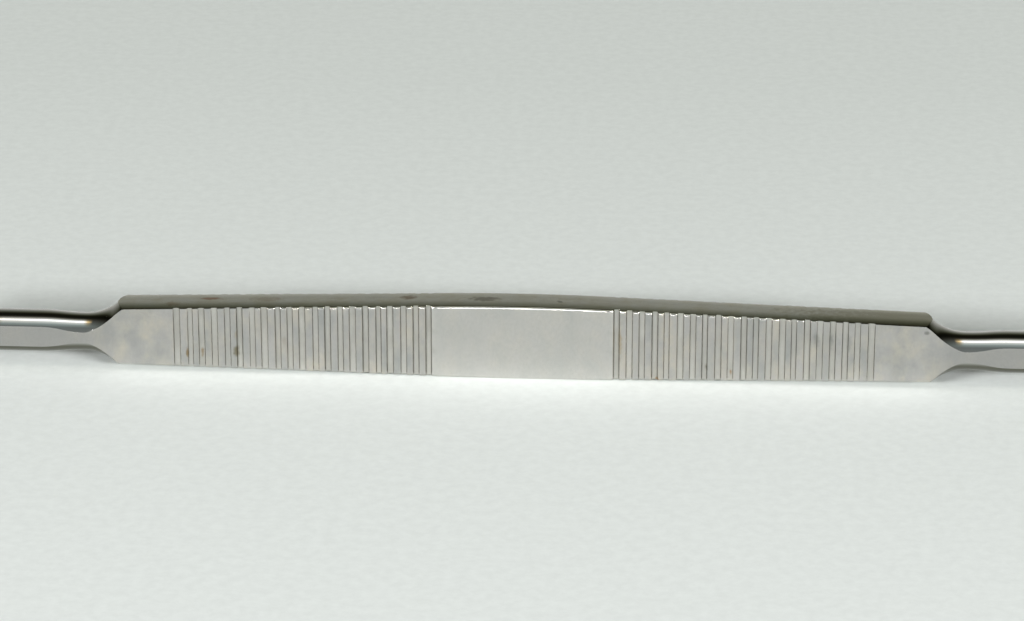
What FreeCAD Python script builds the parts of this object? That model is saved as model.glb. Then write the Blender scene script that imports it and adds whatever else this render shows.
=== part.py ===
import FreeCAD
import Part
import math
import os

# A double-ended septum elevator, forged and turned from one flat bar of stainless steel.
# Lengths are in millimetres and angles in degrees.
# X runs along the instrument, Y through its thickness and Z up its width.
# It stands on the lower narrow side of its handle, and the origin is under the handle's middle.

# The handle: a flat bar, widest at the middle, that tapers in straight lines to both shoulders.
# Its upper side stands further from the axis of the turned ends than its lower side does.
bar_thickness = 3.9
handle_length = 86.4
upper_end_height = 3.47
lower_end_height = 2.93
upper_taper_angle = 1.74
lower_taper_angle = 1.03
middle_panel_length = 19.3
plain_end_length = 5.1
edge_rounding = 0.22

# The cross grooves of the grip, cut into both broad faces by the rim of a large disc.
groove_pitch = 1.351
groove_width = 0.8
groove_inner_depth = 0.3
groove_outer_depth = 0.12
groove_disc_radius = 40.0

# The turned ends: a cone shoulder, a waist, and a round shank that thins towards the blade.
shoulder_cone_angle = 37.0
shoulder_arc_radius = 5.3
shank_radius = 2.27
waist_depth = 0.23
waist_to_shank_length = 4.8
shank_straight_length = 4.4
shank_taper_angle = 5.0
shank_ease_radius = 60.0
shank_thin_radius = 1.3

# The blades, in the plane of the handle: each is bent to one side on a short round neck,
# ground hollow in front and to a shallow crown behind.
blade_bend_angle = 6.0
blade_bend_radius = 45.0
blade_length = 20.5
blade_width = 5.2
blade_spread_length = 10.0
blade_root_thickness = 2.4
blade_back_angle = 2.0
blade_back_radius = 400.0
blade_crown_radius = 11.0
blade_hollow_radius = 80.0
blunt_tip_thickness = 0.7
sharp_tip_thickness = 0.45

half_thickness = bar_thickness / 2
half_handle = handle_length / 2
half_panel = middle_panel_length / 2
taper_length = half_handle - half_panel
upper_taper = math.radians(upper_taper_angle)
lower_taper = math.radians(lower_taper_angle)
upper_panel_height = upper_end_height + taper_length * math.tan(upper_taper)
lower_panel_height = lower_end_height + taper_length * math.tan(lower_taper)
upper_crown_height = upper_panel_height + half_panel * math.tan(upper_taper / 2)
lower_crown_height = lower_panel_height + half_panel * math.tan(lower_taper / 2)
corner_radius = math.hypot((upper_end_height + lower_end_height) / 2, half_thickness)
bar_clear_radius = upper_crown_height + bar_thickness
groove_count = int((half_handle - half_panel - plain_end_length) / groove_pitch)

cone = math.radians(shoulder_cone_angle)
waist_radius = shank_radius - waist_depth
cone_foot_radius = waist_radius + shoulder_arc_radius * (1 - math.cos(cone))
cone_foot = half_handle + (corner_radius - cone_foot_radius) / math.tan(cone)
cone_top = cone_foot - (bar_clear_radius - cone_foot_radius) / math.tan(cone)
waist = cone_foot + shoulder_arc_radius * math.sin(cone)
shank_start = waist + waist_to_shank_length
shank_end = shank_start + shank_straight_length
shank_taper = math.radians(shank_taper_angle)
ease_start_radius = shank_thin_radius + shank_ease_radius * (1 - math.cos(shank_taper))
ease_start = shank_end + (shank_radius - ease_start_radius) / math.tan(shank_taper)
neck_start = ease_start + shank_ease_radius * math.sin(shank_taper)

blade_tilt = math.radians(blade_bend_angle)
blade_root_x = neck_start + blade_bend_radius * math.sin(blade_tilt)
blade_root_y = blade_bend_radius * (1 - math.cos(blade_tilt))


def point(x, y, z):
    return FreeCAD.Vector(x, y, z)


def line(start, end):
    return Part.LineSegment(start, end).toShape()


def arc(start, middle, end):
    return Part.Arc(start, middle, end).toShape()


def bar_side(side, taper, panel_height, crown_height):
    """One long side of the bar, as a taper, the arc over the middle panel and a taper."""
    outer_height = panel_height - (neck_start - half_panel) * math.tan(taper)
    outer_left = point(-neck_start, 0, side * outer_height)
    outer_right = point(neck_start, 0, side * outer_height)
    panel_left = point(-half_panel, 0, side * panel_height)
    panel_right = point(half_panel, 0, side * panel_height)
    crown = point(0, 0, side * crown_height)
    return [line(outer_left, panel_left), arc(panel_left, crown, panel_right),
            line(panel_right, outer_right)]


def flat_bar():
    """The tapered bar, long enough for both turned ends, with its long edges lightly rounded."""
    upper = bar_side(1, upper_taper, upper_panel_height, upper_crown_height)
    lower = bar_side(-1, lower_taper, lower_panel_height, lower_crown_height)
    left_end = line(upper[0].Vertexes[0].Point, lower[0].Vertexes[0].Point)
    right_end = line(upper[-1].Vertexes[-1].Point, lower[-1].Vertexes[-1].Point)
    outline = Part.Wire(upper + [right_end] + lower[::-1] + [left_end])
    bar = Part.Face(outline).extrude(point(0, bar_thickness, 0))
    bar.translate(point(0, -half_thickness, 0))
    long_edges = [edge for edge in bar.Edges if edge.Length > half_panel]
    return bar.makeFillet(edge_rounding, long_edges)


def level_bend(start_x, start_radius, end_x, end_radius):
    """Two equal arcs that leave level at one radius and arrive level at the other."""
    run = end_x - start_x
    rise = end_radius - start_radius
    bend_radius = (run ** 2 + rise ** 2) / (4 * abs(rise))
    quarter = math.asin(run / 2 / bend_radius) / 2
    ease_x = bend_radius * math.sin(quarter)
    ease_rise = math.copysign(bend_radius * (1 - math.cos(quarter)), rise)
    start = point(start_x, 0, start_radius)
    middle = point((start_x + end_x) / 2, 0, (start_radius + end_radius) / 2)
    end = point(end_x, 0, end_radius)
    return [arc(start, point(start_x + ease_x, 0, start_radius + ease_rise), middle),
            arc(middle, point(end_x - ease_x, 0, end_radius - ease_rise), end)]


def easing_arc(arc_radius, slope, end_x, end_radius):
    """The arc that takes a falling cone of this slope over into the level at its end."""
    start, middle = [point(end_x - arc_radius * math.sin(angle), 0,
                           end_radius + arc_radius * (1 - math.cos(angle)))
                     for angle in (slope, slope / 2)]
    return arc(start, middle, point(end_x, 0, end_radius))


def turned(profile):
    """The solid that an outline makes when it is turned about the axis of the instrument."""
    return Part.Face(Part.Wire(profile)).revolve(point(0, 0, 0), point(1, 0, 0), 360)


def turned_envelope():
    """What the lathe leaves of one end, from the middle of the handle to the neck of the blade."""
    profile = [
        line(point(0, 0, 0), point(0, 0, bar_clear_radius)),
        line(point(0, 0, bar_clear_radius), point(cone_top, 0, bar_clear_radius)),
        line(point(cone_top, 0, bar_clear_radius), point(cone_foot, 0, cone_foot_radius)),
        easing_arc(shoulder_arc_radius, cone, waist, waist_radius),
    ]
    profile += level_bend(waist, waist_radius, shank_start, shank_radius)
    profile += [
        line(point(shank_start, 0, shank_radius), point(shank_end, 0, shank_radius)),
        line(point(shank_end, 0, shank_radius), point(ease_start, 0, ease_start_radius)),
        easing_arc(shank_ease_radius, shank_taper, neck_start, shank_thin_radius),
        line(point(neck_start, 0, shank_thin_radius), point(neck_start, 0, 0)),
        line(point(neck_start, 0, 0), point(0, 0, 0)),
    ]
    return turned(profile)


def blade_stock():
    """The round stock of a blade: its root at the origin, spread to full width, with a ball tip."""
    full = blade_width / 2
    tip_start = blade_length - full
    tip_middle = point(tip_start + full * math.sqrt(0.5), 0, full * math.sqrt(0.5))
    profile = [line(point(0, 0, 0), point(0, 0, shank_thin_radius))]
    profile += level_bend(0, shank_thin_radius, blade_spread_length, full)
    profile += [
        line(point(blade_spread_length, 0, full), point(tip_start, 0, full)),
        arc(point(tip_start, 0, full), tip_middle, point(blade_length, 0, 0)),
        line(point(blade_length, 0, 0), point(0, 0, 0)),
    ]
    return turned(profile)


def blade_neck():
    """The bent neck, drawn back from the root of the blade at the origin."""
    rim = Part.Circle(point(0, 0, 0), point(1, 0, 0), shank_thin_radius).toShape()
    bend_centre = point(0, blade_bend_radius, 0)
    return Part.Face(Part.Wire(rim)).revolve(bend_centre, point(0, 0, 1), -blade_bend_angle)


def blade(tip_thickness):
    """One blade with its neck, crowned behind, hollow in front, and set on the end of the shank."""
    back_root = -blade_root_thickness / 2
    start = math.radians(blade_back_angle)
    back_centre = point(-blade_back_radius * math.sin(start),
                        back_root + blade_back_radius * math.cos(start), 0)
    back_tip = back_centre.y - math.sqrt(blade_back_radius ** 2 - (blade_length - back_centre.x) ** 2)
    crown = Part.makeTorus(blade_back_radius - blade_crown_radius, blade_crown_radius, back_centre)

    hollow_root = point(0, -back_root, 0)
    hollow_tip = point(blade_length, back_tip + tip_thickness, 0)
    chord = hollow_tip - hollow_root
    centre_height = math.sqrt(blade_hollow_radius ** 2 - (chord.Length / 2) ** 2)
    across = point(-chord.y, chord.x, 0).normalize()
    hollow_centre = (hollow_root + hollow_tip) / 2 + across * centre_height
    hollow = Part.makeCylinder(blade_hollow_radius, 2 * blade_width,
                               hollow_centre - point(0, 0, blade_width))

    ground = blade_stock().fuse(blade_neck()).common(crown).cut(hollow)
    ground.rotate(point(0, 0, 0), point(0, 0, 1), blade_bend_angle)
    return ground.translated(point(blade_root_x, blade_root_y, 0))


def grooves():
    """The discs that cut the grooves of one half of the grip, on both broad faces."""
    discs = []
    depth_step = (groove_inner_depth - groove_outer_depth) / (groove_count - 1)
    for index in range(groove_count):
        start = half_panel + index * groove_pitch
        depth = groove_inner_depth - index * depth_step
        for side in (1, -1):
            centre = point(start, side * (half_thickness + groove_disc_radius - depth), 0)
            discs.append(Part.makeCylinder(groove_disc_radius, groove_width, centre, point(1, 0, 0)))
    return discs


def half_turn(shape):
    """The same shape turned half way round the upright axis, for the other end."""
    return shape.rotated(point(0, 0, 0), point(0, 0, 1), 180)


def elevator():
    """The whole instrument: the turned bar with its blades, then the grip grooves cut in."""
    envelope = turned_envelope()
    forging = flat_bar().common(envelope.fuse(half_turn(envelope)))
    forging = forging.fuse([blade(blunt_tip_thickness), half_turn(blade(sharp_tip_thickness))])
    discs = grooves()
    gripped = forging.cut(discs + [half_turn(disc) for disc in discs])
    return gripped.translated(point(0, 0, lower_crown_height))


os.makedirs("parts", exist_ok=True)
instrument = elevator()
print("one solid:", len(instrument.Solids) == 1, "volume in cubic mm:", round(instrument.Volume, 1))
instrument.exportStep("parts/double_ended_elevator.step")
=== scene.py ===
import math

import bmesh
import bpy
from mathutils import Matrix, Vector


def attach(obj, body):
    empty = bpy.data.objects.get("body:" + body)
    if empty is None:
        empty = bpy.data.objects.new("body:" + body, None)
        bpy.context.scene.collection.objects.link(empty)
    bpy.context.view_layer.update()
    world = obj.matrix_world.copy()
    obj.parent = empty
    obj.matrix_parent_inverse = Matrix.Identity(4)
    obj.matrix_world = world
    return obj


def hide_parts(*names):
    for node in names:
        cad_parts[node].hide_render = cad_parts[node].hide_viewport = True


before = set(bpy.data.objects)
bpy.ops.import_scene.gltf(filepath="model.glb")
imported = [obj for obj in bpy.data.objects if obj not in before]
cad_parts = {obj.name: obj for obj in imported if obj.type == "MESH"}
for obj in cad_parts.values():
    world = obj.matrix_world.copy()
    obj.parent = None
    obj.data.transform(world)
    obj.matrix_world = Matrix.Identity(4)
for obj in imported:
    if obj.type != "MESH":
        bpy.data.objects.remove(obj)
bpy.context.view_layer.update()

mm = 0.001

# The instrument lies along X and stands on the lower narrow side of its handle.
# Its camera side is -Y, and its ends are one shape turned half way round the upright axis.

bar = {
    "thickness": 3.9 * mm,
    "length": 86.4 * mm,
    "upperEnd": 3.47 * mm,          # heights over and under the axis of the turned ends
    "lowerEnd": 2.93 * mm,
    "upperTaper": math.radians(1.74),
    "lowerTaper": math.radians(1.03),
    "panelLength": 19.3 * mm,
    "crownFront": 0.45 * mm,        # the upper side is slightly crowned from here outwards
    "crownBack": 0.9 * mm,
    "crownMiddle": 8.5 * mm,        # the crown's radius at the middle and at the ends of the handle
    "crownEnd": 5.2 * mm,
    "crownRise": 0.12 * mm,
    "crownHold": 12,                # the higher, the less the crown reaches down the broad faces
}

grip = {
    "pitch": 1.351 * mm,
    "width": 0.8 * mm,
    "wall": 0.17 * mm,
    "entry": (0.0, 0.35, 0.7, 1.0, 1.5),    # points on the way into a cut, in walls
    "ridge": (0.16, 0.5, 0.84),     # points on the ridge between two cuts, in shares of it
    "grimeAndShade": 0.25 * mm,             # dirt and painted shade along the foot of each wall
    "grimeAndShadePlace": 0.7,              # the middle of the dirt and painted shade, in walls
    "innerDepth": 0.36 * mm,
    "outerDepth": 0.24 * mm,
    "innerDisc": 130.0 * mm,
    "outerDisc": 70.0 * mm,
    "count": 21,
    "early": 0.2,                   # the share of a pitch that a cut may start too early
    "shownDepth": 0.06 * mm,        # shallower cuts show less of the lighter floor and less dirt and painted shade
    "unevenDepth": 0.18,            # hand-set cuts: shares of the depth and of the width
    "unevenWidth": 0.1,
    "unevenPlace": 0.045 * mm,
    "dirtAndShade": (0.55, 0.45),           # the usual strength, and how far it varies from cut to cut
    "light": (0.65, 0.35),
}
# What keeps the uneven numbers of a cut apart from each other.
salts = {"width": 2, "depth": 5, "dirtAndShade": 7, "light": 9}

turning = {
    "coneSlope": math.radians(37.0),
    "shoulderArc": 5.3 * mm,
    "shankRadius": 2.27 * mm,
    "waistDepth": 0.23 * mm,
    "waistToShank": 4.8 * mm,
    "shankLength": 4.4 * mm,
    "taperSlope": math.radians(5.0),
    "taperArc": 60.0 * mm,
    "thinRadius": 1.3 * mm,
}

blade = {
    "tilt": math.radians(6.0),
    "bendRadius": 45.0 * mm,
    "length": 20.5 * mm,
    "width": 5.2 * mm,
    "spreadLength": 10.0 * mm,
    "rootThickness": 2.4 * mm,
    "backSlope": math.radians(2.0),
    "backRadius": 400.0 * mm,
    "crownRadius": 11.0 * mm,
    "hollowRadius": 80.0 * mm,
    "bluntTip": 0.7 * mm,
    "sharpTip": 0.45 * mm,
}

skin = {
    "broadRows": 9,                 # rows of faces per quarter: broad side, round, narrow side
    "roundRows": 12,
    "narrowRows": 5,
    "cornerHalf": math.radians(3.0),
    "shoulderCorner": math.radians(0.6),
    "shoulderStart": 1.2 * mm,      # before the end of the handle
    "leastBroad": math.radians(11.0),
    "leastWall": 0.1 * mm,
    "narrowMost": math.pi / 2 - math.radians(2),
    "roundMost": math.pi / 2 - math.radians(1),
    "crisp": 700,                   # the higher, the crisper the long edges
    "worn": 40,
    "wornLeft": 30.0 * mm,          # the upper edges are worn this far from the middle
    "wornRight": 33.0 * mm,
    "wornFade": 6.0 * mm,
    "lowerWear": 0.8,
    "lowerFade": 1.0 * mm,
    "creaseWear": 0.3,              # edges that are more worn than this have no crease
    "pointed": 2.1,                 # a corner under this many halves has one crease in its middle
    "leastFlat": 0.01 * mm,         # flats that are cut less deep than this count as round
    "underShadeFrom": 0.2,           # how far a point has to face down to get painted shade
    "underShadeFade": 0.3,
    "underShadeEnd": 10.0 * mm,      # before the neck
    "grazing": 1e-6,
    "leastReach": 1e-9,
    "joinedWithin": 1e-7,
}

# How far apart the points of the skin are along the instrument.
spacing = {
    "panel": 0.7 * mm,
    "plainEnd": 0.5 * mm,
    "shoulderLead": 0.4 * mm,       # before the end of the handle
    "shoulder": 0.11 * mm,
    "waist": 0.3 * mm,
    "shank": 0.55 * mm,
    "taper": 0.5 * mm,
    "neck": 0.3 * mm,
    "blade": 0.4 * mm,
    "ball": (0, 10, 20, 29, 37, 45, 52, 58, 64, 69, 73, 77, 80, 82.5, 84.5),    # degrees round the tip
}

halfThickness = bar["thickness"] / 2
halfHandle = bar["length"] / 2
halfPanel = bar["panelLength"] / 2
cornerRadius = math.hypot((bar["upperEnd"] + bar["lowerEnd"]) / 2, halfThickness)
gripEnd = halfPanel + grip["count"] * grip["pitch"]

waistRadius = turning["shankRadius"] - turning["waistDepth"]
coneFootRadius = waistRadius + turning["shoulderArc"] * (1 - math.cos(turning["coneSlope"]))
coneFoot = halfHandle + (cornerRadius - coneFootRadius) / math.tan(turning["coneSlope"])
waist = coneFoot + turning["shoulderArc"] * math.sin(turning["coneSlope"])
shankStart = waist + turning["waistToShank"]
shankEnd = shankStart + turning["shankLength"]
easeRise = turning["taperArc"] * (1 - math.cos(turning["taperSlope"]))
taperFall = turning["shankRadius"] - turning["thinRadius"] - easeRise
easeStart = shankEnd + taperFall / math.tan(turning["taperSlope"])
neckStart = easeStart + turning["taperArc"] * math.sin(turning["taperSlope"])
bladeRoot = neckStart + blade["bendRadius"] * blade["tilt"]
spreadEnd = bladeRoot + blade["spreadLength"]
ballRadius = blade["width"] / 2
ballStart = bladeRoot + blade["length"] - ballRadius


def clamped(value):
    return min(max(value, 0), 1)


# The radius between two levels, over two equal arcs.
def levelBend(place, start, startRadius, end, endRadius):
    run, rise = end - start, endRadius - startRadius
    bend = (run ** 2 + rise ** 2) / (4 * abs(rise))
    nearest = min(place - start, end - place)
    eased = math.copysign(bend - math.sqrt(bend ** 2 - nearest ** 2), rise)
    return startRadius + eased if place - start < end - place else endRadius - eased


# How far the lathe leaves the metal round the axis, at a place measured along the axis.
def turnedRadius(place):
    if place < coneFoot:
        return coneFootRadius + (coneFoot - place) * math.tan(turning["coneSlope"])
    if place < waist:
        arc = turning["shoulderArc"]
        return waistRadius + arc - math.sqrt(arc ** 2 - (waist - place) ** 2)
    if place < shankStart:
        return levelBend(place, waist, waistRadius, shankStart, turning["shankRadius"])
    if place < shankEnd:
        return turning["shankRadius"]
    if place < easeStart:
        return turning["shankRadius"] - (place - shankEnd) * math.tan(turning["taperSlope"])
    if place < neckStart:
        arc = turning["taperArc"]
        return turning["thinRadius"] + arc - math.sqrt(arc ** 2 - (neckStart - place) ** 2)
    if place < bladeRoot:
        return turning["thinRadius"]
    if place < spreadEnd:
        return levelBend(place, bladeRoot, turning["thinRadius"], spreadEnd, ballRadius)
    return math.sqrt(max(ballRadius ** 2 - max(place - ballStart, 0) ** 2, 0))


# How far one narrow side of the flat bar is from the axis: a taper, and an arc over the middle panel.
def barSide(place, endHeight, taper):
    panelHeight = endHeight + (halfHandle - halfPanel) * math.tan(taper)
    if place > halfPanel:
        return panelHeight - (place - halfPanel) * math.tan(taper)
    arc = halfPanel / math.sin(taper)
    return panelHeight + math.sqrt(arc ** 2 - place ** 2) - arc * math.cos(taper)


upperCrown = barSide(0, bar["upperEnd"], bar["upperTaper"])
lowerCrown = barSide(0, bar["lowerEnd"], bar["lowerTaper"])


backCentre = Vector((-blade["backRadius"] * math.sin(blade["backSlope"]),
                     blade["backRadius"] * math.cos(blade["backSlope"]) - blade["rootThickness"] / 2))


# The blade's crowned back, as a height over the blade's own axis, at a distance from its root.
def bladeBack(distance):
    return backCentre.y - math.sqrt(blade["backRadius"] ** 2 - (distance - backCentre.x) ** 2)


# The blade's hollow front: a large circle from the root to the front of the tip.
def bladeFront(distance, tipThickness):
    root = Vector((0, blade["rootThickness"] / 2))
    tip = Vector((blade["length"], bladeBack(blade["length"]) + tipThickness))
    chord = tip - root
    lift = math.sqrt(blade["hollowRadius"] ** 2 - (chord.length / 2) ** 2)
    centre = (root + tip) / 2 + Vector((-chord.y, chord.x)).normalized() * lift
    return centre.y - math.sqrt(blade["hollowRadius"] ** 2 - (distance - centre.x) ** 2)


# Everything that bounds the metal at one place along the axis.
def sectionAt(place, tipThickness):
    onBar = min(place, neckStart)
    onShoulder = place > halfHandle - skin["shoulderStart"]
    section = {"place": place, "turned": turnedRadius(place), "crown": None, "centre": 0.0,
               "onShoulder": onShoulder,
               "cornerHalf": skin["shoulderCorner" if onShoulder else "cornerHalf"],
               "upper": barSide(onBar, bar["upperEnd"], bar["upperTaper"]),
               "lower": barSide(onBar, bar["lowerEnd"], bar["lowerTaper"]),
               "front": halfThickness, "back": -halfThickness,
               "lean": 0.0, "origin": Vector((place, 0, 0))}
    crownRise = 0.0
    if place > neckStart:
        lean = min((place - neckStart) / blade["bendRadius"], blade["tilt"])
        left = blade["tilt"] - lean
        bend = blade["bendRadius"]
        beyond = max(place - bladeRoot, 0)
        section["lean"] = lean
        section["origin"] = Vector((neckStart + bend * math.sin(lean) + beyond * math.cos(lean),
                                    bend * (1 - math.cos(lean)) + beyond * math.sin(lean), 0))
        distance = beyond - bend * math.sin(left)
        aside = bend * (1 - math.cos(left))
        section["upper"] = section["lower"] = blade["width"]
        section["front"] = bladeFront(distance, tipThickness) - aside
        section["back"] = bladeBack(distance) - aside
        section["crown"] = blade["crownRadius"]
        front, back = min(section["front"], section["turned"]), max(section["back"], -section["turned"])
        section["centre"] = (front + back) / 2
        crownRise = max(section["turned"] ** 2 - section["back"] ** 2, 0) / 2 / section["crown"]
    front, back = section["front"], section["back"] + crownRise
    quarters = ((front, "upper"), (back, "upper"), (back, "lower"), (front, "lower"))
    section["corners"] = [cornerAngles(section, abs(wall - section["centre"]), wall, section[side])
                          for wall, side in quarters]
    return section


# Where the broad side ends and where the narrow side starts, as angles round the section's centre.
def cornerAngles(section, depth, wall, width):
    turned = section["turned"]
    height = min(width, math.sqrt(max(turned ** 2 - wall ** 2, 0)))
    broad = max(math.atan2(height, max(depth, skin["leastWall"])), skin["leastBroad"])
    narrow = skin["narrowMost"]
    if width < turned:
        narrow = min(math.atan2(width, math.sqrt(turned ** 2 - width ** 2)), narrow)
    narrow = max(narrow, broad)
    short = max(2 * section["cornerHalf"] - (narrow - broad), 0) / 2
    return broad - short, min(narrow + short, skin["roundMost"])


rowsPerQuarter = skin["broadRows"] + skin["roundRows"] + skin["narrowRows"]
rowCount = 4 * rowsPerQuarter


# The angle of a row in one quarter; rows crowd at the long edges.
def quarterAngle(row, corners):
    broad, narrow = corners
    if row <= skin["broadRows"]:
        return broad * math.sin(math.pi / 2 * row / skin["broadRows"])
    row -= skin["broadRows"]
    if row <= skin["roundRows"]:
        return broad + (narrow - broad) * (1 - math.cos(math.pi * row / skin["roundRows"])) / 2
    share = (row - skin["roundRows"]) / skin["narrowRows"]
    return narrow + (math.pi / 2 - narrow) * (1 - math.cos(math.pi / 2 * share))


# The angle of a row round the whole section; the second and fourth quarters are mirrored.
def rowAngle(row, section):
    quarter, step = divmod(row % rowCount, rowsPerQuarter)
    corners = section["corners"][quarter]
    if quarter % 2 == 0:
        return quarter * math.pi / 2 + quarterAngle(step, corners)
    return (quarter + 1) * math.pi / 2 - quarterAngle(rowsPerQuarter - step, corners)


# A steady number from -1 to 1 for each cut.
def uneven(index, salt):
    return math.sin(index * 12.9898 + salt * 78.233) * math.cos(index * 4.1414 + salt * 2.718)


def varied(strength, index, salt):
    usual, reach = strength
    return usual + reach * uneven(index, salt)


# Where a cross cut starts, and how wide it is.
def cutAt(index, side):
    start = halfPanel + index * grip["pitch"] + uneven(index, side) * grip["unevenPlace"] * min(index, 1)
    return start, grip["width"] * (1 + grip["unevenWidth"] * uneven(index, side + salts["width"]))


# How deep the cross cuts go at a place, how light the floor of the cut is there, and how much dirt and
# painted shade lies along its walls.
def cutDepth(place, height, side):
    index = math.floor((place - halfPanel + grip["early"] * grip["pitch"]) / grip["pitch"])
    if index < 0 or index >= grip["count"]:
        return 0.0, 0.0, 0.0
    start, width = cutAt(index, side)
    inside = min(place - start, start + width - place)
    wall = clamped(inside / grip["wall"])
    wall = wall * wall * (3 - 2 * wall)
    share = index / (grip["count"] - 1)
    deepest = grip["innerDepth"] + (grip["outerDepth"] - grip["innerDepth"]) * share
    deepest *= 1 + grip["unevenDepth"] * uneven(index, side + salts["depth"])
    disc = grip["innerDisc"] + (grip["outerDisc"] - grip["innerDisc"]) * share
    depth = max(deepest - height ** 2 / 2 / disc, 0)
    shown = min(depth / grip["shownDepth"], 1)
    nearer = 1 if place - start < start + width - place else -1
    dirtAndShade = varied(grip["dirtAndShade"], index, side + salts["dirtAndShade"] + nearer)
    # dirt and painted shade along the foot of each wall
    grimeAndShade = max(1 - abs(inside - grip["wall"] * grip["grimeAndShadePlace"]) / grip["grimeAndShade"], 0) * dirtAndShade
    light = varied(grip["light"], index, side + salts["light"])
    return depth * wall, wall * shown * light, grimeAndShade * shown


# How worn the long edges are at a place, from 0 to 1.
def wear(place, side, upper):
    if not upper:
        return clamped((halfHandle - place) / skin["lowerFade"]) * skin["lowerWear"]
    limit = skin["wornRight" if side > 0 else "wornLeft"]
    return clamped((limit - place) / skin["wornFade"])


# One point of the skin, on the half of the instrument at +X, and what the finishes need to know there.
def skinPoint(section, row, side):
    angle = rowAngle(row, section)
    outward, upward = math.cos(angle), math.sin(angle)
    place, centre, turned = section["place"], section["centre"], section["turned"]
    walls = [math.sqrt(max(turned ** 2 - (centre * upward) ** 2, 0)) - centre * outward]
    if abs(upward) > skin["grazing"]:
        walls.append(section["upper" if upward > 0 else "lower"] / abs(upward))
    if outward > skin["grazing"]:
        walls.append((section["front"] - centre) / outward)
    if section["crown"]:
        drop = section["back"] + section["crown"] - centre
        walls.append(drop * outward + math.sqrt(section["crown"] ** 2 - (drop * upward) ** 2))
    elif outward < -skin["grazing"]:
        walls.append((section["back"] - centre) / outward)
    nearest = max(min(walls), skin["leastReach"])
    along = place / halfHandle
    worn = wear(place, side, upward > 0)
    soft = skin["crisp"] ** (1 - worn) * skin["worn"] ** worn
    reach = nearest * sum((nearest / max(wall, skin["leastReach"])) ** soft for wall in walls) ** (-1 / soft)
    aside, height = centre + reach * outward, reach * upward
    looks = {"cutFloor": 0.0, "cutGrimeAndShade": 0.0, "paintedUnderShade": 0.0}
    if along < 1:
        depth, floor, grimeAndShade = cutDepth(place, height, side)
        if abs(aside) > halfThickness - depth:
            aside = math.copysign(halfThickness - depth, aside)
            looks["cutFloor"], looks["cutGrimeAndShade"] = floor, grimeAndShade
    else:
        # painted shade on the turned surfaces that face down, fading out before the neck
        ending = clamped((neckStart - place) / skin["underShadeEnd"])
        looks["paintedUnderShade"] = clamped((-upward - skin["underShadeFrom"]) / skin["underShadeFade"]) * ending
    if place < waist and height > 0:
        fade = 1 - clamped((place - halfHandle) / (waist - halfHandle))
        crown = bar["crownMiddle"] + (bar["crownEnd"] - bar["crownMiddle"]) * min(along, 1)
        level = bar["crownBack" if aside * side > 0 else "crownFront"]
        fallen = max(abs(aside) - level, 0) ** 2 / 2 / crown - bar["crownRise"]
        height -= fallen * min(height / section["upper"], 1) ** bar["crownHold"] * fade
    origin, lean = section["origin"], section["lean"]
    return Vector((origin.x - aside * math.sin(lean), origin.y + aside * math.cos(lean), height)), looks


def steps(start, end, size):
    count = max(round((end - start) / size), 1)
    return [start + (end - start) * index / count for index in range(count)]


# The places along one half: close together at the cut walls, the shoulder and the tip.
def halfPlaces(side):
    places = steps(0, halfPanel, spacing["panel"])
    entry = [share * grip["wall"] for share in grip["entry"]]
    for index in range(grip["count"]):
        start, width = cutAt(index, side)
        following = cutAt(index + 1, side)[0] if index + 1 < grip["count"] else gripEnd
        places += [start + reach for reach in entry] + [start + width / 2]
        places += [start + width - reach for reach in reversed(entry)]
        places += [start + width + (following - start - width) * share for share in grip["ridge"]]
    shoulderStart = halfHandle - spacing["shoulderLead"]
    stretches = ((gripEnd, shoulderStart, "plainEnd"), (shoulderStart, waist, "shoulder"),
                 (waist, shankStart, "waist"), (shankStart, shankEnd, "shank"),
                 (shankEnd, neckStart, "taper"), (neckStart, bladeRoot, "neck"),
                 (bladeRoot, ballStart, "blade"))
    for start, end, name in stretches:
        places += steps(start, end, spacing[name])
    return places + [ballStart + ballRadius * math.sin(math.radians(angle)) for angle in spacing["ball"]]


finishNames = ("satinFace", "drawnSide", "polishedTurning", "groundBlade")


# Which finish a face has, from the place and the row that it is in.
def finishOf(section, row):
    quarter, step = divmod(row % rowCount, rowsPerQuarter)
    step = step if quarter in (0, 2) else rowsPerQuarter - 1 - step
    width = section["upper" if quarter < 2 else "lower"]
    turned = section["turned"]
    onBroad = step < skin["broadRows"]
    if section["place"] > neckStart:
        wall = section["front"] if quarter in (0, 3) else -section["back"]
        return "groundBlade" if onBroad and wall < turned - skin["leastFlat"] else "polishedTurning"
    if onBroad:
        return "satinFace" if turned > halfThickness + skin["leastFlat"] else "polishedTurning"
    if step < skin["broadRows"] + skin["roundRows"]:
        if turned < math.hypot(width, halfThickness):
            return "polishedTurning"
        return "satinFace" if step < skin["broadRows"] + skin["roundRows"] // 2 else "drawnSide"
    return "drawnSide" if turned > width else "polishedTurning"


# The rows along which a quarter of the section has a sharp edge.
def creases(section, quarter, side):
    low, high = section["corners"][quarter]
    width = section["upper" if quarter < 2 else "lower"]
    if section["place"] > neckStart or wear(section["place"], side, quarter < 2) > skin["creaseWear"]:
        return []
    first, last = skin["broadRows"], skin["broadRows"] + skin["roundRows"]
    rows = [first, last] if section["onShoulder"] else []
    if high - low < skin["pointed"] * section["cornerHalf"]:
        return rows + [(first + last) // 2]
    return rows if width < section["turned"] else [first]


def isCreased(section, row, side):
    quarter, step = divmod(row, rowsPerQuarter)
    step = step if quarter % 2 == 0 else rowsPerQuarter - step
    return step in creases(section, quarter, side)


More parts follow.
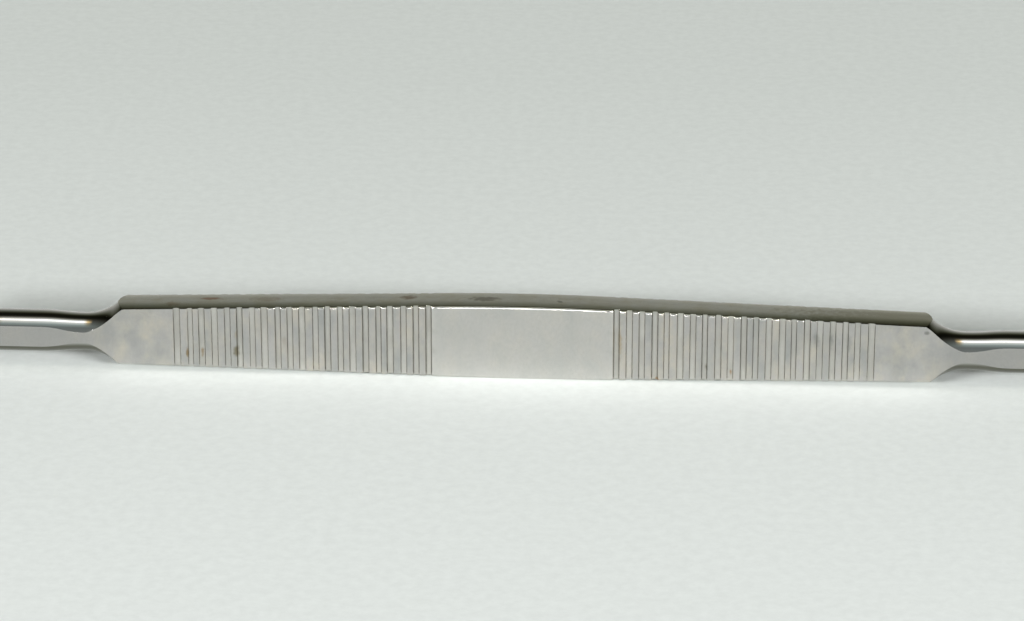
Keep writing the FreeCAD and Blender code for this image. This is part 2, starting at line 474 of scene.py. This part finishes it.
# The whole skin: a grid of stations and rows, wrapped round the instrument and closed at both tips.
def makeElevator():
    places = [-place for place in reversed(halfPlaces(-1))] + halfPlaces(1)[1:]
    ends = {1: blade["bluntTip"], -1: blade["sharpTip"]}
    sections = [sectionAt(abs(place), ends[1 if place >= 0 else -1]) for place in places]
    sheet = bmesh.new()
    bmesh.ops.create_grid(sheet, x_segments=len(places) - 1, y_segments=rowCount, size=1)
    layers = {name: sheet.verts.layers.float.new(name) for name in ("cutFloor", "cutGrimeAndShade", "paintedUnderShade")}
    creased = {}
    for vert in sheet.verts:
        station = round((vert.co.x + 1) / 2 * (len(places) - 1))
        row = round((vert.co.y + 1) / 2 * rowCount) % rowCount
        side = 1 if places[station] >= 0 else -1
        localRow = row if side > 0 else (rowCount // 2 - row) % rowCount
        point, looks = skinPoint(sections[station], localRow, side)
        vert.co = (side * point.x, side * point.y, point.z)
        if isCreased(sections[station], localRow, side):
            creased[vert.index] = row
        for name, layer in layers.items():
            vert[layer] = looks[name]
    for edge in sheet.edges:
        first, second = (creased.get(vert.index) for vert in edge.verts)
        edge.smooth = first is None or first != second
    # rows and stations are read back from the grid's own order of faces
    for number, face in enumerate(sheet.faces):
        row, column = divmod(number, len(places) - 1)
        side = 1 if places[column] >= 0 else -1
        outer = column + 1 if side > 0 else column
        localRow = row if side > 0 else (rowCount // 2 - 1 - row) % rowCount
        face.smooth = True
        face.material_index = finishNames.index(finishOf(sections[outer], localRow))
    bmesh.ops.remove_doubles(sheet, verts=sheet.verts, dist=skin["joinedWithin"])
    rims = [edge for edge in sheet.edges if edge.is_boundary]
    bmesh.ops.holes_fill(sheet, edges=rims, sides=0)
    bmesh.ops.recalc_face_normals(sheet, faces=sheet.faces)
    bmesh.ops.translate(sheet, verts=sheet.verts, vec=(0, 0, lowerCrown))
    mesh = bpy.data.meshes.new("polishedElevator")
    sheet.to_mesh(mesh)
    sheet.free()
    piece = bpy.data.objects.new("polishedElevator", mesh)
    bpy.context.collection.objects.link(piece)
    return piece


elevator = makeElevator()
print("elevator skinned,", len(elevator.data.polygons), "faces")


# Links a socket to an input, and sets any other value there.
def feed(tree, node, inputs):
    for name, value in inputs.items():
        if isinstance(value, bpy.types.NodeSocket):
            tree.links.new(value, node.inputs[name])
        else:
            node.inputs[name].default_value = value


def addNode(tree, kind, label="", inputs=None, **settings):
    made = tree.nodes.new(kind)
    made.label = label
    for name, value in settings.items():
        setattr(made, name, value)
    feed(tree, made, inputs or {})
    return made


def calculate(tree, label, operation, *values):
    return addNode(tree, "ShaderNodeMath", label, dict(enumerate(values)), operation=operation).outputs[0]


def combine(tree, label, operation, *vectors):
    return addNode(tree, "ShaderNodeVectorMath", label, dict(enumerate(vectors)), operation=operation)


# A value brought from one range to another, and held at both ends.
def rampOf(tree, label, value, between, low=0.0, high=1.0, kind="LINEAR"):
    inputs = {"Value": value, "From Min": between[0], "From Max": between[1], "To Min": low, "To Max": high}
    return addNode(tree, "ShaderNodeMapRange", label, inputs, interpolation_type=kind).outputs[0]


# The sockets of a mix node that mixes colours.
mixSockets = {"amount": 0, "first": 6, "second": 7, "result": 2}


def mixColours(tree, label, first, second, amount, blend="MIX"):
    first, second = ((*value, 1) if isinstance(value, tuple) else value for value in (first, second))
    inputs = {mixSockets["first"]: first, mixSockets["second"]: second, mixSockets["amount"]: amount}
    mix = addNode(tree, "ShaderNodeMix", label, inputs, data_type="RGBA", blend_type=blend)
    return mix.outputs[mixSockets["result"]]


def attribute(tree, name):
    return addNode(tree, "ShaderNodeAttribute", name, attribute_name=name).outputs["Fac"]


# A node group with these inputs and one output that is a number.
def startGroup(name, inputs, output):
    group = bpy.data.node_groups.new(name, "ShaderNodeTree")
    for inputName, kind in inputs.items():
        group.interface.new_socket(inputName, in_out="INPUT", socket_type="NodeSocket" + kind)
    group.interface.new_socket(output, in_out="OUTPUT", socket_type="NodeSocketFloat")
    return group, addNode(group, "NodeGroupInput")


# A noise of long thin marks: the scale says how many there are to the metre along each axis.
def makeMarksGroup():
    group, entry = startGroup("grindingMarks", {"Position": "Vector", "Marks": "Vector", "Detail": "Float"},
                              "Mark")
    stretched = combine(group, "marks to the metre", "MULTIPLY",
                        entry.outputs["Position"], entry.outputs["Marks"])
    noise = addNode(group, "ShaderNodeTexNoise", "marks",
                    {"Vector": stretched.outputs[0], "Scale": 1.0, "Detail": entry.outputs["Detail"],
                     "Roughness": surface["markRoughness"]}, noise_dimensions="3D")
    addNode(group, "NodeGroupOutput", "", {"Mark": noise.outputs["Fac"]})
    return group


# One stain: an oval with a ragged edge.
def makeStainGroup():
    group, entry = startGroup("stainSpot", {"Position": "Vector", "Centre": "Vector", "Reach": "Vector",
                                            "Ragged": "Float"}, "Mask")
    position = entry.outputs["Position"]
    apart = combine(group, "from the centre", "SUBTRACT", position, entry.outputs["Centre"])
    scaled = combine(group, "in reaches", "DIVIDE", apart.outputs[0], entry.outputs["Reach"])
    length = combine(group, "how far out", "LENGTH", scaled.outputs[0]).outputs["Value"]
    noise = addNode(group, "ShaderNodeTexNoise", "ragged edge",
                    {"Vector": position, "Scale": surface["stainNoise"]}, noise_dimensions="3D")
    shift = calculate(group, "noise about zero", "SUBTRACT", noise.outputs["Fac"], 0.5)
    edge = calculate(group, "edge moved", "MULTIPLY_ADD", shift, entry.outputs["Ragged"], length)
    fade = rampOf(group, "soft edge", edge, surface["stainEdge"], kind="SMOOTHSTEP")
    addNode(group, "NodeGroupOutput", "", {"Mask": fade})
    return group


# Stains on the steel: centre and reach in millimetres, colour, strength.
stains = {
    "satinFace": [
        ((-36.0, -1.95, 2.15), (0.2, 0.5, 0.75), (0.27, 0.19, 0.09), 0.85),
        ((-34.4, -1.95, 2.15), (0.18, 0.5, 0.8), (0.28, 0.20, 0.10), 0.8),
        ((-30.6, -1.95, 2.4), (0.5, 0.5, 0.85), (0.21, 0.185, 0.12), 0.9),
        ((-30.7, -1.95, 4.3), (0.3, 0.5, 0.5), (0.40, 0.34, 0.24), 0.5),
        ((-25.5, -1.95, 3.7), (0.3, 0.5, 0.6), (0.36, 0.31, 0.22), 0.35),
        ((10.35, -1.95, 4.4), (0.34, 0.5, 2.2), (0.42, 0.33, 0.20), 0.6),
        ((19.6, -1.95, 1.75), (0.2, 0.5, 0.45), (0.16, 0.15, 0.10), 0.7),
        ((14.4, -1.95, 0.35), (0.25, 0.5, 0.22), (0.30, 0.15, 0.03), 0.85),
        ((22.25, -1.95, 1.25), (0.17, 0.5, 0.4), (0.30, 0.16, 0.04), 0.8),
        ((31.35, -1.95, 5.1), (0.45, 0.5, 1.1), (0.22, 0.23, 0.22), 0.5),
        ((32.9, -1.95, 5.1), (0.3, 0.5, 1.3), (0.22, 0.23, 0.22), 0.55),
        ((34.7, -1.95, 4.9), (0.35, 0.5, 1.2), (0.24, 0.25, 0.24), 0.4),
        ((43.0, -1.95, 6.35), (0.3, 0.5, 0.28), (0.16, 0.16, 0.15), 0.6),
    ],
    "drawnSide": [
        ((-37.6, -0.9, 7.3), (0.9, 0.6, 0.5), (0.30, 0.24, 0.16), 0.6),
        ((-33.6, 0.5, 7.4), (1.3, 0.45, 0.5), (0.27, 0.15, 0.08), 0.85),
        ((-27.5, 0.3, 7.6), (2.0, 0.8, 0.5), (0.33, 0.29, 0.22), 0.6),
        ((-12.3, 0.5, 8.05), (1.0, 0.7, 0.6), (0.20, 0.15, 0.09), 0.8),
        ((-4.2, 0.0, 8.3), (1.9, 0.7, 0.6), (0.17, 0.16, 0.12), 0.8),
        ((3.95, -0.3, 8.25), (0.35, 0.35, 0.5), (0.15, 0.15, 0.12), 0.6),
        # not a spot: a broad darkening of the upper side towards the right end
        ((41.0, 0.0, 7.0), (14.0, 5.0, 3.0), (0.30, 0.295, 0.21), 0.8),
    ],
}

# What each finish looks like. Marks run across the broad faces and along the narrow sides.
finishes = {
    "satinFace": {
        "steel": (0.56, 0.542, 0.53), "warm": (0.64, 0.595, 0.525), "cool": (0.43, 0.435, 0.43),
        "low": 0.16, "high": 0.24, "marks": (3500.0, 2500.0, 2200.0),
        "bump": 0.006, "patch": 1.0, "seen": 0.14},
    "drawnSide": {
        "steel": (0.485, 0.487, 0.415), "warm": (0.42, 0.403, 0.31), "cool": (0.48, 0.49, 0.45),
        "low": 0.14, "high": 0.24, "marks": (300.0, 7000.0, 7000.0),
        "bump": 0.05, "patch": 0.7, "seen": 0.10},
    "polishedTurning": {
        "steel": (0.62, 0.615, 0.60), "warm": (0.60, 0.59, 0.56), "cool": (0.60, 0.605, 0.60),
        "low": 0.06, "high": 0.10, "marks": (5000.0, 400.0, 400.0),
        "bump": 0.01, "patch": 0.4, "seen": 0.03},
    "groundBlade": {
        "steel": (0.60, 0.59, 0.575), "warm": (0.63, 0.61, 0.58), "cool": (0.56, 0.565, 0.57),
        "low": 0.17, "high": 0.26, "marks": (400.0, 6000.0, 6000.0),
        "bump": 0.05, "patch": 0.5, "seen": 0.06},
}

# What all the finishes share: fine marks, patches of warmer and cooler steel, and the edges of stains.
surface = {
    "markRoughness": 0.6,
    "markDetail": 3.0,
    "markRange": (0.3, 0.7),
    "markShade": 0.55,              # how dark the marks are, as a share of the steel's colour
    "bumpDistance": 0.02 * mm,
    "patches": {"warm": 620.0, "cool": 340.0},      # how many there are to the metre
    "patchShape": (1.0, 1.3, 0.7),
    "patchDetail": 4.0,
    "patchRange": (0.42, 0.68),
    "stainNoise": 1800.0,
    "stainRagged": 1.3,
    "stainEdge": (1.15, 0.35),      # where a stain starts and where it is full, in reaches
}

wearAndShade = {
    "panel": (0.68, 0.665, 0.64),   # the middle panel is the brightest place, and the flats of the turned ends get painted shade
    "panelEdge": 0.3 * mm,
    "panelStrength": 0.6,
    # painted shade: the flats of the turned ends are darkened to stand in for the shaded paper that they
    # reflect
    "flats": (0.44, 0.43, 0.42),
    "flatsStrength": 0.75,
    "cutLight": (0.69, 0.67, 0.635),
    "cutDark": (0.55, 0.53, 0.495),
    "cutPatches": (740.0, 100.0, 300.0),
    "cutDetail": 2.0,
    "cutRange": (0.38, 0.62),
    # dirt and painted shade along the foot of each cut wall
    "cutGrimeAndShade": (0.42, 0.41, 0.385),
    # painted shade: the lower band of the turned ends is darkened to stand in for the shadowed paper it
    # reflects
    "paintedUnderShade": (0.15, 0.147, 0.118),
}


def markNoise(tree, label, marksGroup, position, scales, detail):
    inputs = {"Position": position, "Marks": scales, "Detail": detail}
    return addNode(tree, "ShaderNodeGroup", label, inputs, node_tree=marksGroup).outputs["Mark"]


# Colour on the broad faces: a bright panel, flats darkened as painted shade, and tarnished cuts with dirt
# and painted shade along their walls.
def wearAndShadeColour(tree, colour, marksGroup, position):
    parts = addNode(tree, "ShaderNodeSeparateXYZ", "place on the bar", {0: position})
    apart = calculate(tree, "from the middle", "ABSOLUTE", parts.outputs["X"])
    panel = rampOf(tree, "middle panel", apart, (halfPanel + wearAndShade["panelEdge"], halfPanel),
                   high=wearAndShade["panelStrength"])
    colour = mixColours(tree, "brighter panel", colour, wearAndShade["panel"], panel)
    # painted shade on the flats
    flats = rampOf(tree, "flats of the turned ends", apart, (halfHandle, waist),
                   high=wearAndShade["flatsStrength"])
    colour = mixColours(tree, "darker flats", colour, wearAndShade["flats"], flats)
    tarnish = markNoise(tree, "tarnish in the cuts", marksGroup, position, wearAndShade["cutPatches"],
                        wearAndShade["cutDetail"])
    spread = rampOf(tree, "tarnish strength", tarnish, wearAndShade["cutRange"])
    floors = mixColours(tree, "floors of the cuts", wearAndShade["cutDark"], wearAndShade["cutLight"], spread)
    return mixColours(tree, "cuts", colour, floors, attribute(tree, "cutFloor"))


def stainedColour(tree, colour, spot, stainGroup, position):
    centre, reach, tint, strength = spot
    inputs = {"Position": position, "Centre": [value * mm for value in centre],
              "Reach": [value * mm for value in reach], "Ragged": surface["stainRagged"]}
    mask = addNode(tree, "ShaderNodeGroup", "stain", inputs, node_tree=stainGroup).outputs["Mask"]
    amount = calculate(tree, "stain strength", "MULTIPLY", mask, strength)
    return mixColours(tree, "stained", colour, tint, amount)


def makeSteel(name, marksGroup, stainGroup):
    look = finishes[name]
    material = bpy.data.materials.new(name)
    material.use_nodes = True
    tree = material.node_tree
    position = addNode(tree, "ShaderNodeTexCoord", "where").outputs["Object"]
    marks = markNoise(tree, "fine marks", marksGroup, position, look["marks"], surface["markDetail"])
    colour = look["steel"]
    for label, scale in surface["patches"].items():
        patches = markNoise(tree, label + " patches", marksGroup, position,
                            [scale * share for share in surface["patchShape"]], surface["patchDetail"])
        cloud = rampOf(tree, label + " strength", patches, surface["patchRange"], high=look["patch"])
        colour = mixColours(tree, label, colour, look[label], cloud)
    if name == "satinFace":
        colour = wearAndShadeColour(tree, colour, marksGroup, position)
    if name == "polishedTurning":
        # painted shade on the downward-facing turned surfaces
        colour = mixColours(tree, "painted underside shade", colour, wearAndShade["paintedUnderShade"],
                            attribute(tree, "paintedUnderShade"))
    streak = rampOf(tree, "marks seen as tone", marks, surface["markRange"], high=look["seen"])
    shade = tuple(surface["markShade"] * value for value in look["steel"])
    colour = mixColours(tree, "darker marks", colour, shade, streak)
    if name == "satinFace":
        # dirt and painted shade at the foot of the cut walls
        colour = mixColours(tree, "dirt and painted shade in the cuts", colour, wearAndShade["cutGrimeAndShade"],
                            attribute(tree, "cutGrimeAndShade"))
    for spot in stains.get(name, []):
        colour = stainedColour(tree, colour, spot, stainGroup, position)
    rough = rampOf(tree, "roughness", marks, surface["markRange"], low=look["low"], high=look["high"])
    bump = addNode(tree, "ShaderNodeBump", "marks felt",
                   {"Strength": look["bump"], "Distance": surface["bumpDistance"], "Height": marks})
    feed(tree, tree.nodes["Principled BSDF"],
         {"Metallic": 1.0, "Base Color": colour, "Roughness": rough, "Normal": bump.outputs["Normal"]})
    return material


marksGroup = makeMarksGroup()
stainGroup = makeStainGroup()
for name in finishNames:
    elevator.data.materials.append(makeSteel(name, marksGroup, stainGroup))
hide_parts("double_ended_elevator")
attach(elevator, "root")
print("steel finishes:", ", ".join(finishNames))


# The pale paper that it stands on.
paper = {
    "size": 8.0,
    "near": (0.745, 0.78, 0.78),    # painted shade: the sheet's colour darkens a little away from the camera, standing in for the light falling off
    "far": (0.645, 0.68, 0.67),
    "between": (-70.0 * mm, 95.0 * mm),
    "fleck": 0.94,                  # how light the flecks are, as a share of the clean sheet
    "fleckRange": (0.35, 0.65),
    "grain": 800.0,
    "grainDetail": 6.0,
    "grainRoughness": 0.62,
    "roughness": 0.9,
    "shine": 0.2,
}


def makePaper():
    sheet = bmesh.new()
    bmesh.ops.create_grid(sheet, x_segments=1, y_segments=1, size=paper["size"] / 2)
    mesh = bpy.data.meshes.new("paperFloor")
    sheet.to_mesh(mesh)
    sheet.free()
    floor = bpy.data.objects.new("paperFloor", mesh)
    bpy.context.collection.objects.link(floor)
    material = bpy.data.materials.new("paper")
    material.use_nodes = True
    tree = material.node_tree
    position = addNode(tree, "ShaderNodeTexCoord", "where").outputs["Object"]
    noise = addNode(tree, "ShaderNodeTexNoise", "paper grain",
                    {"Vector": position, "Scale": paper["grain"], "Detail": paper["grainDetail"],
                     "Roughness": paper["grainRoughness"]}, noise_dimensions="3D")
    amount = rampOf(tree, "fleck strength", noise.outputs["Fac"], paper["fleckRange"])
    parts = addNode(tree, "ShaderNodeSeparateXYZ", "place on the sheet", {0: position})
    # painted shade: darker away from the camera
    away = rampOf(tree, "away from the camera", parts.outputs["Y"], paper["between"])
    clean = mixColours(tree, "clean paper", paper["near"], paper["far"], away)
    near, far = (tuple(paper["fleck"] * value for value in paper[end]) for end in ("near", "far"))
    flecked = mixColours(tree, "flecked paper", near, far, away)
    feed(tree, tree.nodes["Principled BSDF"],
         {"Roughness": paper["roughness"], "Specular IOR Level": paper["shine"],
          "Base Color": mixColours(tree, "paper", clean, flecked, amount)})
    mesh.materials.append(material)


makePaper()

# Light: a small lamp under the camera, a low panel on each side of it, and a room that reads as a section
# across the instrument.
sidePanel = {"distance": 2.0, "elevation": 16.8, "size": (0.8, 0.15), "power": 52.0,
             "colour": (1.0, 1.0, 0.985)}
lights = {
    "lamp": {"distance": 2.0, "elevation": 5.0, "azimuth": -3.0, "size": (0.28, 0.24), "power": 3.5,
             "colour": (1.0, 1.0, 0.985)},
    "left": {**sidePanel, "azimuth": -46.0},
    "right": {**sidePanel, "azimuth": 46.0},
}
room = {
    # degrees up from the horizon in front, over the top and down to the horizon behind
    "walls": ((0, (0.25, 0.27, 0.265)), (38, (0.196, 0.22, 0.216)), (49, (0.25, 0.29, 0.285)),
              (60, (0.21, 0.24, 0.235)), (78, (0.13, 0.14, 0.13)), (90, (0.07, 0.07, 0.06)),
              (97, (0.035, 0.035, 0.028)), (104, (0.015, 0.015, 0.011)), (111, (0.009, 0.009, 0.006)),
              (119, (0.009, 0.009, 0.005)), (128, (0.030, 0.030, 0.018)), (137, (0.12, 0.126, 0.094)),
              (148, (0.26, 0.266, 0.232)), (162, (0.49, 0.49, 0.47)), (180, (0.70, 0.71, 0.68))),
    # the skylight nearly overhead, added to the walls
    "skylight": ((45, (0.0, 0.0, 0.0)), (55, (0.13, 0.16, 0.155)), (60, (0.33, 0.38, 0.37)),
                 (66, (0.62, 0.65, 0.63)), (72, (0.95, 0.96, 0.94)), (76, (2.5, 2.5, 2.45)),
                 (80, (2.5, 2.5, 2.45)), (84, (0.9, 0.9, 0.88)), (90, (0.38, 0.38, 0.36)),
                 (96, (0.07, 0.07, 0.05)), (102, (0.0, 0.0, 0.0))),
    # how much is left of the skylight, and of the walls, from the middle out to the left and right
    "reach": ((0, (1.0, 1.0, 1.0)), (9, (1.0, 1.0, 1.0)), (18, (0.5, 0.36, 0.16)), (28, (0.0, 0.0, 0.0)),
              (90, (0.0, 0.0, 0.0))),
    "width": ((0, (1.0, 1.0, 1.0)), (20, (0.9, 0.9, 0.88)), (45, (0.6, 0.6, 0.56)), (70, (0.55, 0.55, 0.52)),
              (90, (0.5, 0.5, 0.47))),
}


def towards(azimuth, elevation):
    return Vector((math.sin(azimuth) * math.cos(elevation), -math.cos(azimuth) * math.cos(elevation),
                   math.sin(elevation)))


middle = Vector((0, 0, (lowerCrown + upperCrown) / 2))


def makeLamp(name, values):
    data = bpy.data.lights.new(name, "AREA")
    data.shape = "RECTANGLE"
    data.size, data.size_y = values["size"]
    data.energy = values["power"]
    data.color = values["colour"]
    lamp = bpy.data.objects.new(name, data)
    bpy.context.collection.objects.link(lamp)
    direction = towards(math.radians(values["azimuth"]), math.radians(values["elevation"]))
    lamp.location = middle + direction * values["distance"]
    lamp.rotation_mode = "QUATERNION"
    lamp.rotation_quaternion = (-direction).to_track_quat("-Z", "Y")
    lamp.visible_camera = False


# A ramp over an angle from 0 to 180 degrees.
def angleRamp(tree, name, radians):
    share = calculate(tree, "share of a half turn", "DIVIDE", radians, math.pi)
    ramp = addNode(tree, "ShaderNodeValToRGB", name, {"Fac": share})
    stops = ramp.color_ramp.elements
    while len(stops) < len(room[name]):
        stops.new(0.5)
    for stop, (degrees, colour) in zip(stops, room[name]):
        stop.position = degrees / 180
        stop.color = (*colour, 1)
    return ramp.outputs["Color"]


def makeRoom():
    world = bpy.data.worlds.new("room")
    world.use_nodes = True
    bpy.context.scene.world = world
    tree = world.node_tree
    direction = addNode(tree, "ShaderNodeTexCoord").outputs["Generated"]
    parts = addNode(tree, "ShaderNodeSeparateXYZ", "direction", {0: direction}).outputs
    forward = calculate(tree, "to the front", "MULTIPLY", parts["Y"], -1.0)
    over = calculate(tree, "angle over the top", "ARCTAN2", parts["Z"], forward)
    sideways = calculate(tree, "to either end", "ABSOLUTE", parts["X"])
    outward = calculate(tree, "angle outward", "ARCSINE", sideways)
    skylight = mixColours(tree, "skylight shown", angleRamp(tree, "skylight", over),
                          angleRamp(tree, "reach", outward), 1.0, "MULTIPLY")
    walls = mixColours(tree, "walls shown", angleRamp(tree, "walls", over),
                       angleRamp(tree, "width", outward), 1.0, "MULTIPLY")
    total = mixColours(tree, "walls and skylight", walls, skylight, 1.0, "ADD")
    feed(tree, tree.nodes["Background"], {"Color": total})


for name, values in lights.items():
    makeLamp(name, values)
makeRoom()
print("light and paper placed")

# The camera stands where the photo was taken from; the frame is 1024 by 621 pixels.
view = {
    "elevation": math.radians(22.53),
    "azimuth": math.radians(3.29),
    "distance": 450.0 * mm,
    "lens": 147.6,
    "sensor": 36.0,
    "nearest": 10.0 * mm,
    "middleAt": (523.3, 336.2),     # where the middle of the instrument is in the frame, in pixels
    "frame": (1024, 621),
}


def makeCamera():
    data = bpy.data.cameras.new("photoCamera")
    data.lens = view["lens"]
    data.sensor_width = view["sensor"]
    data.clip_start = view["nearest"]
    camera = bpy.data.objects.new("photoCamera", data)
    bpy.context.collection.objects.link(camera)
    back = towards(view["azimuth"], view["elevation"])
    across = Vector((math.cos(view["azimuth"]), math.sin(view["azimuth"]), 0))
    up = back.cross(across)
    pixelsPerMetre = view["frame"][0] * view["lens"] / view["sensor"] / view["distance"]
    right = (view["middleAt"][0] - view["frame"][0] / 2) / pixelsPerMetre
    down = (view["middleAt"][1] - view["frame"][1] / 2) / pixelsPerMetre
    aim = middle - across * right + up * down
    turn = Matrix((across, up, back)).transposed().to_4x4()
    camera.matrix_world = Matrix.Translation(aim + back * view["distance"]) @ turn
    bpy.context.scene.camera = camera


makeCamera()
bpy.context.scene.view_settings.view_transform = "Standard"
